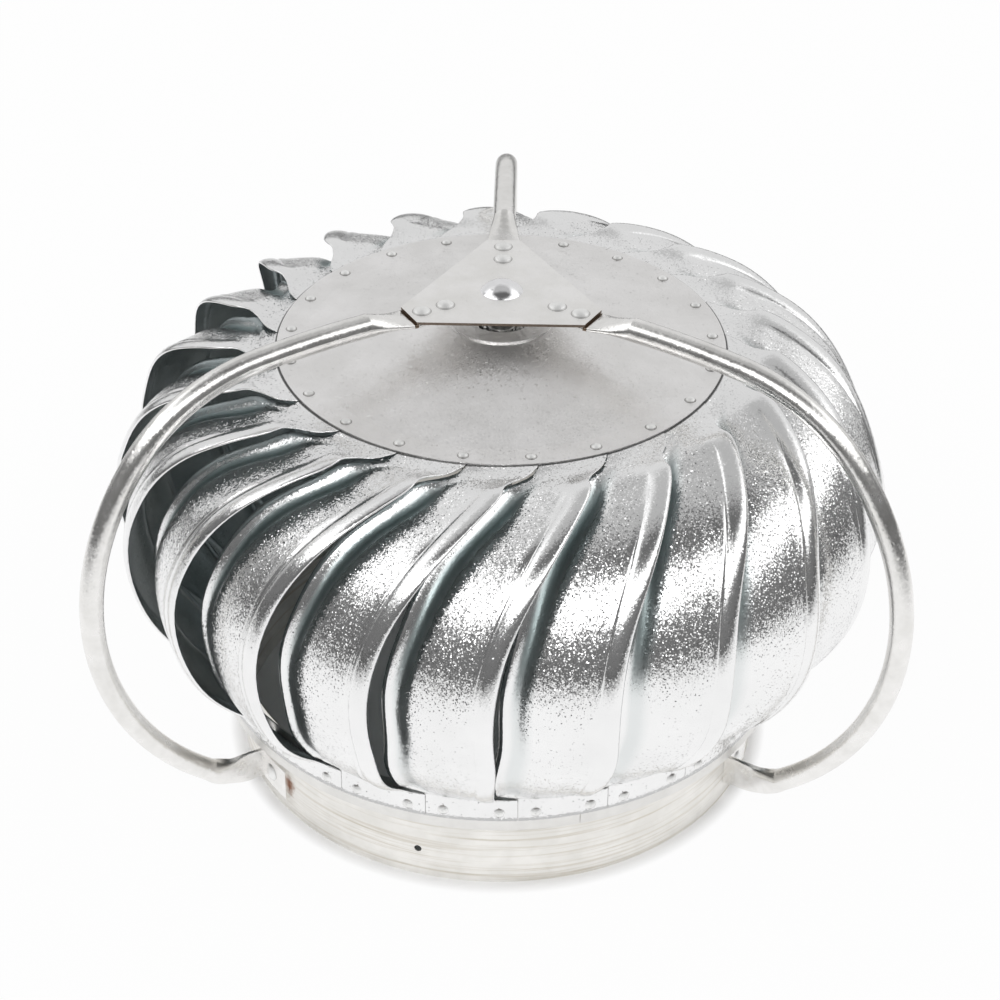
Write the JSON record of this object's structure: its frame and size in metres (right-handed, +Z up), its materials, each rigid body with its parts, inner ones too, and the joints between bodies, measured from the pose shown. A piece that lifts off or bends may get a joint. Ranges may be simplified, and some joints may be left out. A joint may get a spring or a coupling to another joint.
{
  "type": "roof turbine ventilator",
  "caption": "Wind-driven roof ventilator: a globe of curved sheet vanes spins on a fixed axle, held by bent tube arms over a round throat collar.",
  "frame": {"origin": "centre of the throat collar's bottom edge, on the spin axis", "axes": "+Z up along the spin axis, towards the domed bolt; the back arm stands at +Y"},
  "size_m": [0.4346, 0.4643, 0.2926],
  "materials": {
    "vane_zinc": "bright spangled zinc",
    "disc_zinc": "matt galvanised",
    "tube_zinc": "polished zinc tube with lengthwise streaks",
    "collar_zinc": "warm brushed zinc, lightly stained",
    "plate_zinc": "matt galvanised plate",
    "rivet_aluminium": "bright domed heads",
    "bolt_chrome": "polished",
    "fastener_zinc": "zinc plated",
    "bearing_steel": "ground",
    "housing_zinc": "pressed, zinc plated"
  },
  "bodies": {
    "frame": {"arm_back": "tube_zinc", "arm_left": "tube_zinc", "arm_right": "tube_zinc", "axle_bolt": "bolt_chrome", "base_collar": "collar_zinc", "collar_rivets": "rivet_aluminium", "distance_tube": "fastener_zinc", "lower_inner_race": "bearing_steel", "lower_nut": "fastener_zinc", "lower_washer": "fastener_zinc", "plate_nut": "fastener_zinc", "plate_rivets": "rivet_aluminium", "top_plate": "plate_zinc", "upper_inner_race": "bearing_steel", "upper_spacer": "fastener_zinc"},
    "rotor": {"top_disc": "disc_zinc", "rim_rivets": "rivet_aluminium", "upper_housing": "housing_zinc", "lower_ring": "disc_zinc", "ring_rivets": "rivet_aluminium", "lower_spider": "housing_zinc", "lower_housing": "housing_zinc", "spider_rivets": "rivet_aluminium", "upper_outer_race": "bearing_steel", "lower_outer_race": "bearing_steel", "vane_01": "vane_zinc", "vane_02": "vane_zinc", "vane_03": "vane_zinc", "vane_04": "vane_zinc", "vane_05": "vane_zinc", "vane_06": "vane_zinc", "vane_07": "vane_zinc", "vane_08": "vane_zinc", "vane_09": "vane_zinc", "vane_10": "vane_zinc", "vane_11": "vane_zinc", "vane_12": "vane_zinc", "vane_13": "vane_zinc", "vane_14": "vane_zinc", "vane_15": "vane_zinc", "vane_16": "vane_zinc", "vane_17": "vane_zinc", "vane_18": "vane_zinc", "vane_19": "vane_zinc", "vane_20": "vane_zinc", "vane_21": "vane_zinc"},
    "upper_balls": {"upper_bearing_balls": "bearing_steel"},
    "lower_balls": {"lower_bearing_balls": "bearing_steel"}
  },
  "joints": [
    {"name": "rotor_spin", "type": "hinge", "parent": "frame", "child": "rotor", "pos_m": [0, 0, 0.155], "axis": [0, 0, 1], "continuous": true},
    {"name": "upper_ball_orbit", "type": "hinge", "parent": "frame", "child": "upper_balls", "pos_m": [0, 0, 0.2605], "axis": [0, 0, 1], "continuous": true},
    {"name": "lower_ball_orbit", "type": "hinge", "parent": "frame", "child": "lower_balls", "pos_m": [0, 0, 0.0805], "axis": [0, 0, 1], "continuous": true}
  ],
  "couplings": [
    {"joint": "upper_ball_orbit", "follows": "rotor_spin", "ratio": 0.67},
    {"joint": "lower_ball_orbit", "follows": "rotor_spin", "ratio": 0.67}
  ]
}
